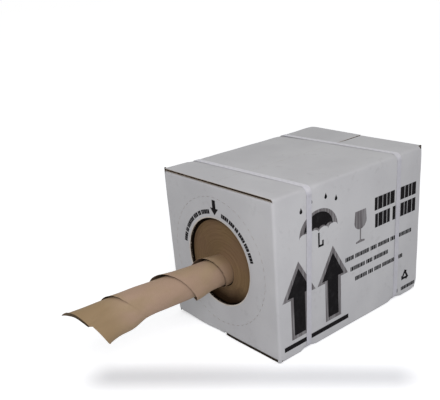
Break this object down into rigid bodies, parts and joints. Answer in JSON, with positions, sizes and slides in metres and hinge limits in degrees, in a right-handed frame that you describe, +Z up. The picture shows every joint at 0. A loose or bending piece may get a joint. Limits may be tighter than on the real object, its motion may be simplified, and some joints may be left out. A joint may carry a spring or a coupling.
{
  "type": "kraft paper roll in a dispenser box",
  "caption": "Coreless roll of kraft fill paper in a strapped corrugated dispenser carton, with the paper drawn out as a tube through the round hole in the front.",
  "frame": {"origin": "middle of the carton's underside", "axes": "+Z up; Y along the carton and the roll's axis, with the dispensing hole and the drawn-out paper at -Y; +X to the right as seen from the front"},
  "size_m": [0.2935, 0.69, 0.3004],
  "materials": {
    "white_board": "matt white liner, printed in grey and black, brown flutes at the cut edges",
    "kraft_paper": "matt brown kraft",
    "strapping": "satin white polypropylene with an embossed face"
  },
  "bodies": {
    "root": {"carton": "white_board", "paper_roll": "kraft_paper", "strap_front": "strapping", "strap_rear": "strapping"}
  },
  "joints": []
}
